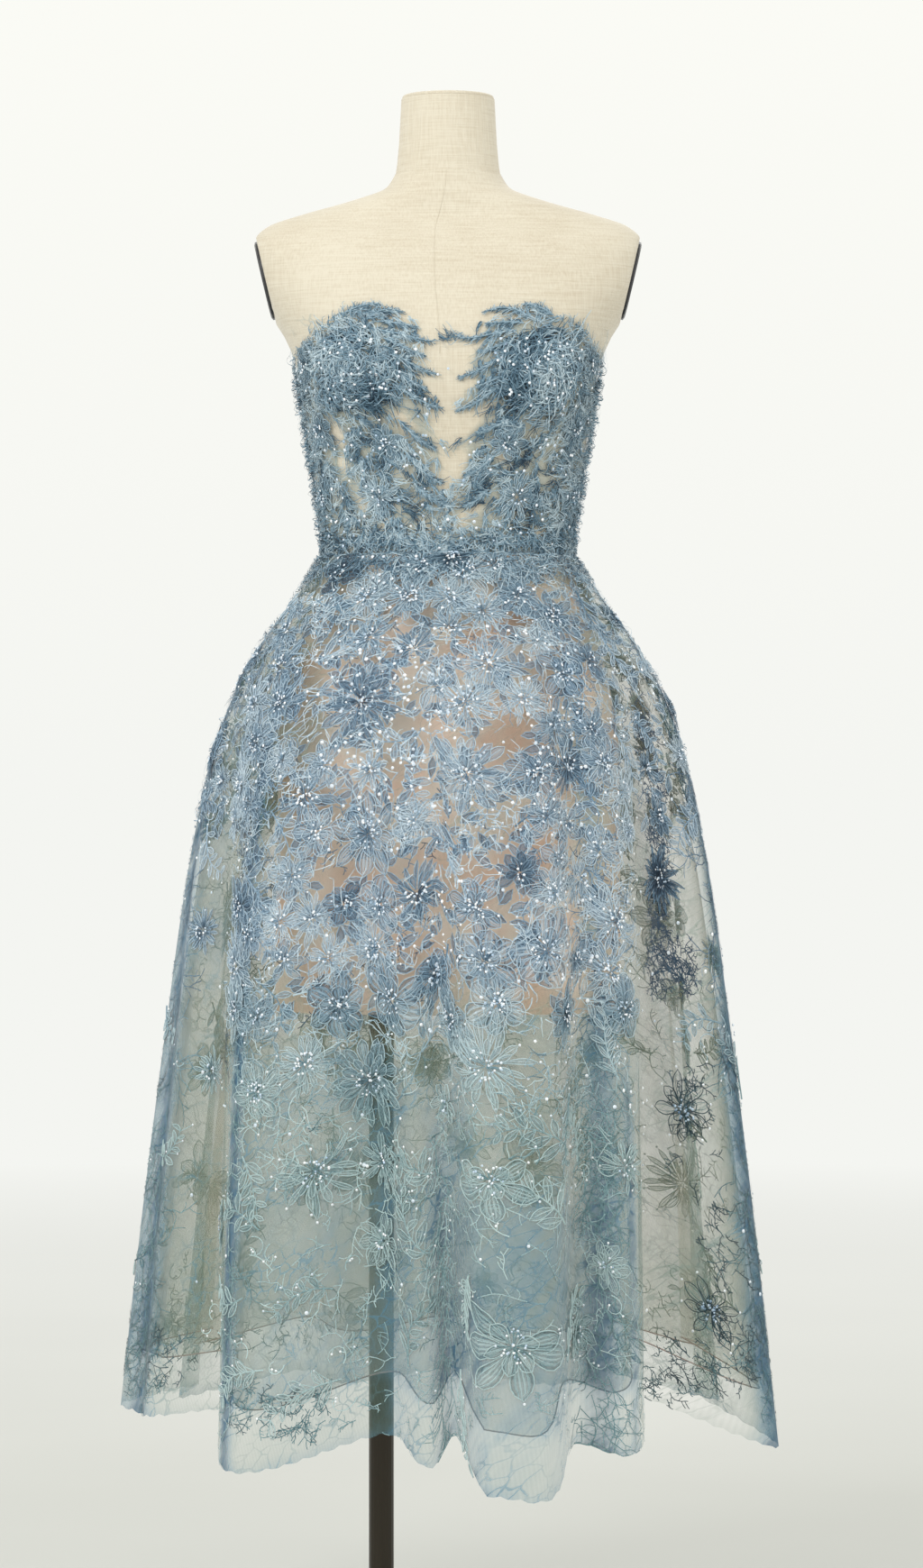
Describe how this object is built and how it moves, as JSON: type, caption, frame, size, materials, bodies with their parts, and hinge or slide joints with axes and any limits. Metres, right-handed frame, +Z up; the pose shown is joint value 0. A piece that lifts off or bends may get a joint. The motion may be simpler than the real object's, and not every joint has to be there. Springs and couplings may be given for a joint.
{
  "type": "lace midi dress on a dress form",
  "caption": "Strapless lace midi dress with a full bell skirt over a sheer underskirt and slip, worn by a limbless linen dress form on a pole.",
  "frame": {"origin": "centre of the base plate's underside, on the floor", "axes": "+Z up, the dress's front faces -Y, +X is to the right seen from the front"},
  "size_m": [0.6575, 0.6632, 1.5668],
  "materials": {
    "blue_lace": "corded floral lace on fine net, light steel blue, semi-sheer",
    "nude_organza": "sheer nude organza",
    "nude_slip": "soft satin crepe, peach nude",
    "linen": "natural unbleached linen, stretched smooth",
    "dark_metal": "dark bronze lacquer, satin",
    "plate_metal": "dark metal, satin",
    "zip_tape": "woven tape with a closed coil",
    "zip_metal": "enamelled metal, blue-grey"
  },
  "bodies": {
    "root": {"bodice_front": "blue_lace", "bodice_side_front_left": "blue_lace", "bodice_side_front_right": "blue_lace", "bodice_back_left": "blue_lace", "bodice_back_right": "blue_lace", "skirt_lace_front": "blue_lace", "skirt_lace_back_left": "blue_lace", "skirt_lace_back_right": "blue_lace", "underskirt_front": "nude_organza", "underskirt_back": "nude_organza", "slip_front": "nude_slip", "slip_back": "nude_slip", "zip_chain": "zip_tape", "zip_slider": "zip_metal", "form_torso": "linen", "form_neck": "linen", "form_neck_cap": "linen", "form_bottom_board": "linen", "form_armhole_plate_left": "plate_metal", "form_armhole_plate_right": "plate_metal", "stand_pole": "dark_metal", "stand_base": "dark_metal"},
    "zip_tab": {"zip_pull": "zip_metal"}
  },
  "joints": [
    {"name": "zip_pull_hinge", "type": "hinge", "parent": "root", "child": "zip_tab", "pos_m": [0, 0.113, 1.249], "axis": [1, 0, 0], "range_deg": [0, 165]}
  ]
}
